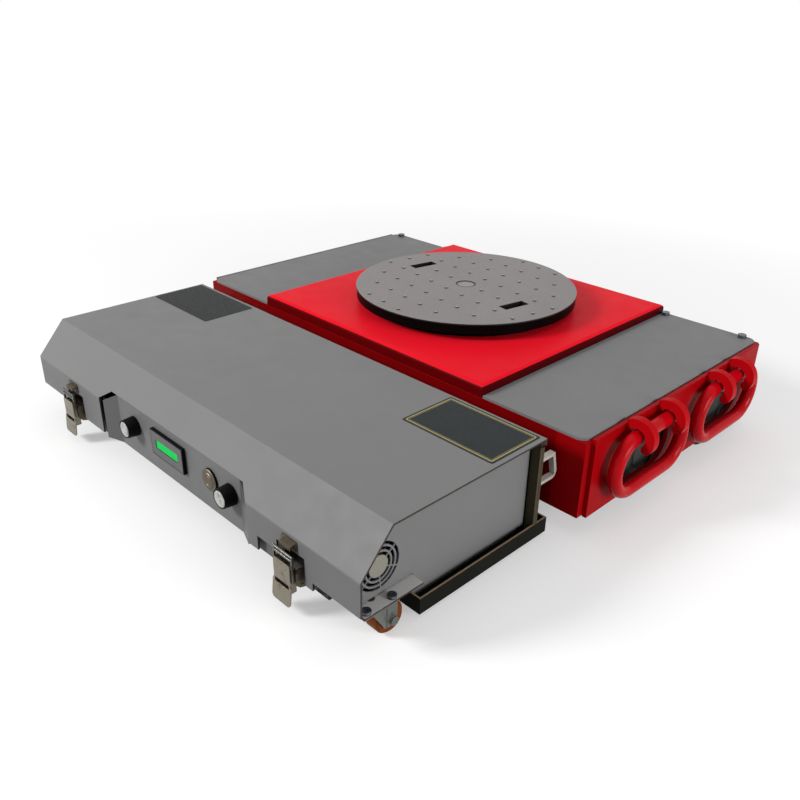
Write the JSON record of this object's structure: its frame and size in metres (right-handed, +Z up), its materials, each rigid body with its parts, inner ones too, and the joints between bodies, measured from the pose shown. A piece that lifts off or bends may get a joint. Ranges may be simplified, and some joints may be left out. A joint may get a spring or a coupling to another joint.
{
  "type": "automated guided vehicle",
  "caption": "Low automated guided vehicle: a hooded control box with latches and dials, coupled to a load dolly with a studded turntable, lifting rings and drive wheels.",
  "frame": {"origin": "on the floor under the middle of the bounding box", "axes": "+X along the vehicle's long side towards the end with the right lifting rings, +Y from the control panel to the dolly, +Z up"},
  "size_m": [0.8734, 0.8322, 0.1872],
  "materials": {
    "hood_paint": "satin powder coat",
    "box_paint": "satin powder coat",
    "panel_paint": "satin powder coat",
    "tray_paint": "matt black",
    "frame_paint": "satin",
    "shelf_steel": "bare sheet",
    "latch_nickel": "nickel plated",
    "chrome": "polished",
    "bolt_steel": "zinc plated",
    "strap_steel": "plain",
    "black_plastic": "fine grain",
    "meter_face": "matt",
    "screen": "lit, green",
    "pale_cap": "satin",
    "dolly_red": "gloss enamel",
    "deck_grey": "satin",
    "table_steel": "grained",
    "table_black": "satin black",
    "machined_steel": "machined",
    "bronze": "plain",
    "tyre_black": "solid rubber",
    "hub_grey": "cast, grooved",
    "caster_tread": "cast polyurethane, orange-brown",
    "motor_grey": "cast",
    "battery_blue": "sleeved pack"
  },
  "bodies": {
    "chassis": {"base_tray": "tray_paint", "front_frame": "frame_paint", "back_panel": "tray_paint", "end_panel_right": "box_paint", "end_panel_left": "box_paint", "control_panel": "panel_paint", "meter_bezel": "black_plastic", "meter_screen": "screen", "button_bezel": "latch_nickel", "latch_bases": "latch_nickel", "caster_plates": "bolt_steel", "fan_housings": "black_plastic", "battery_packs": "battery_blue", "gear_motors": "motor_grey", "bearing_units": "motor_grey", "deck_plates": "deck_grey", "motor_controller": "motor_grey", "chassis_plates": "dolly_red", "side_rails": "dolly_red", "centre_plate": "dolly_red", "end_plate_right": "dolly_red", "end_plate_left": "dolly_red", "fasteners": "bolt_steel", "center_cover": "dolly_red", "kingpin": "machined_steel", "thrust_washer": "bronze", "couplings": "strap_steel"},
    "hood": {"hood": "hood_paint", "latch_keepers": "latch_nickel"},
    "turntable": {"turntable_disc": "table_steel", "turntable_rim": "table_black", "grip_studs": "table_steel"},
    "ring_front_right": {"lifting_ring_front_right": "dolly_red"},
    "wheel_front_right": {"wheel_tyre_front_right": "tyre_black", "wheel_hub_front_right": "hub_grey"},
    "ring_rear_right": {"lifting_ring_rear_right": "dolly_red"},
    "wheel_rear_right": {"wheel_tyre_rear_right": "tyre_black", "wheel_hub_rear_right": "hub_grey"},
    "caster_right": {"caster_fork_right": "bolt_steel"},
    "roller_right": {"caster_wheel_right": "caster_tread"},
    "lever_right": {"latch_lever_right": "latch_nickel"},
    "bail_right": {"latch_bail_right": "chrome"},
    "dial_right": {"dial_right": "black_plastic", "dial_cap_right": "pale_cap"},
    "fan_right": {"fan_rotor_right": "black_plastic"},
    "wheel_front_left": {"wheel_tyre_front_left": "tyre_black", "wheel_hub_front_left": "hub_grey"},
    "wheel_rear_left": {"wheel_tyre_rear_left": "tyre_black", "wheel_hub_rear_left": "hub_grey"},
    "caster_left": {"caster_fork_left": "bolt_steel"},
    "roller_left": {"caster_wheel_left": "caster_tread"},
    "lever_left": {"latch_lever_left": "latch_nickel"},
    "bail_left": {"latch_bail_left": "chrome"},
    "dial_left": {"dial_left": "black_plastic", "dial_cap_left": "pale_cap"},
    "fan_left": {"fan_rotor_left": "black_plastic"},
    "button": {"push_button": "latch_nickel"}
  },
  "joints": [
    {"name": "hood_hinge", "type": "hinge", "parent": "chassis", "child": "hood", "pos_m": [-0.02075, -0.0944, 0.1395], "axis": [-1, 0, 0], "range_deg": [0, 75]},
    {"name": "turntable_spin", "type": "hinge", "parent": "chassis", "child": "turntable", "pos_m": [-0.02075, 0.1791, 0.185], "axis": [0, 0, 1], "continuous": true},
    {"name": "ring_front_right_swing", "type": "hinge", "parent": "chassis", "child": "ring_front_right", "pos_m": [0.41075, 0.0671, 0.126], "axis": [0, -1, 0], "range_deg": [0, 190]},
    {"name": "wheel_front_right_spin", "type": "hinge", "parent": "chassis", "child": "wheel_front_right", "pos_m": [0.38525, 0.1001, 0.062], "axis": [1, 0, 0], "continuous": true},
    {"name": "ring_rear_right_swing", "type": "hinge", "parent": "chassis", "child": "ring_rear_right", "pos_m": [0.41075, 0.2791, 0.126], "axis": [0, -1, 0], "range_deg": [0, 190]},
    {"name": "wheel_rear_right_spin", "type": "hinge", "parent": "chassis", "child": "wheel_rear_right", "pos_m": [0.38525, 0.3001, 0.062], "axis": [1, 0, 0], "continuous": true},
    {"name": "caster_right_swivel", "type": "hinge", "parent": "chassis", "child": "caster_right", "pos_m": [0.34125, -0.3699, 0.04], "axis": [0, 0, 1], "continuous": true},
    {"name": "roller_right_spin", "type": "hinge", "parent": "caster_right", "child": "roller_right", "pos_m": [0.34125, -0.3499, 0.02], "axis": [1, 0, 0], "continuous": true},
    {"name": "latch_right_lever", "type": "hinge", "parent": "chassis", "child": "lever_right", "pos_m": [0.24325, -0.4064, 0.058], "axis": [-1, 0, 0], "range_deg": [0, 110]},
    {"name": "latch_right_bail", "type": "hinge", "parent": "lever_right", "child": "bail_right", "pos_m": [0.24325, -0.41, 0.046], "axis": [-1, 0, 0], "range_deg": [-110, 0]},
    {"name": "dial_right_turn", "type": "hinge", "parent": "chassis", "child": "dial_right", "pos_m": [0.10925, -0.3859, 0.079], "axis": [0, -1, 0], "range_deg": [-150, 150]},
    {"name": "fan_right_spin", "type": "hinge", "parent": "chassis", "child": "fan_right", "pos_m": [0.34325, -0.3599, 0.09], "axis": [1, 0, 0], "continuous": true},
    {"name": "wheel_front_left_spin", "type": "hinge", "parent": "chassis", "child": "wheel_front_left", "pos_m": [-0.42675, 0.1001, 0.062], "axis": [1, 0, 0], "continuous": true},
    {"name": "wheel_rear_left_spin", "type": "hinge", "parent": "chassis", "child": "wheel_rear_left", "pos_m": [-0.42675, 0.3001, 0.062], "axis": [1, 0, 0], "continuous": true},
    {"name": "caster_left_swivel", "type": "hinge", "parent": "chassis", "child": "caster_left", "pos_m": [-0.38275, -0.3699, 0.04], "axis": [0, 0, 1], "continuous": true},
    {"name": "roller_left_spin", "type": "hinge", "parent": "caster_left", "child": "roller_left", "pos_m": [-0.38275, -0.3499, 0.02], "axis": [1, 0, 0], "continuous": true},
    {"name": "latch_left_lever", "type": "hinge", "parent": "chassis", "child": "lever_left", "pos_m": [-0.28475, -0.4064, 0.058], "axis": [-1, 0, 0], "range_deg": [0, 110]},
    {"name": "latch_left_bail", "type": "hinge", "parent": "lever_left", "child": "bail_left", "pos_m": [-0.28475, -0.41, 0.046], "axis": [-1, 0, 0], "range_deg": [-110, 0]},
    {"name": "dial_left_turn", "type": "hinge", "parent": "chassis", "child": "dial_left", "pos_m": [-0.12525, -0.3859, 0.079], "axis": [0, -1, 0], "range_deg": [-150, 150]},
    {"name": "fan_left_spin", "type": "hinge", "parent": "chassis", "child": "fan_left", "pos_m": [-0.38475, -0.3599, 0.09], "axis": [1, 0, 0], "continuous": true},
    {"name": "button_press", "type": "slide", "parent": "chassis", "child": "button", "axis": [0, 1, 0], "range_m": [0, 0.003], "stiffness_N_per_m": 300}
  ],
  "couplings": [
    {"joint": "latch_right_bail", "follows": "latch_right_lever", "ratio": -1},
    {"joint": "latch_left_bail", "follows": "latch_left_lever", "ratio": -1}
  ]
}
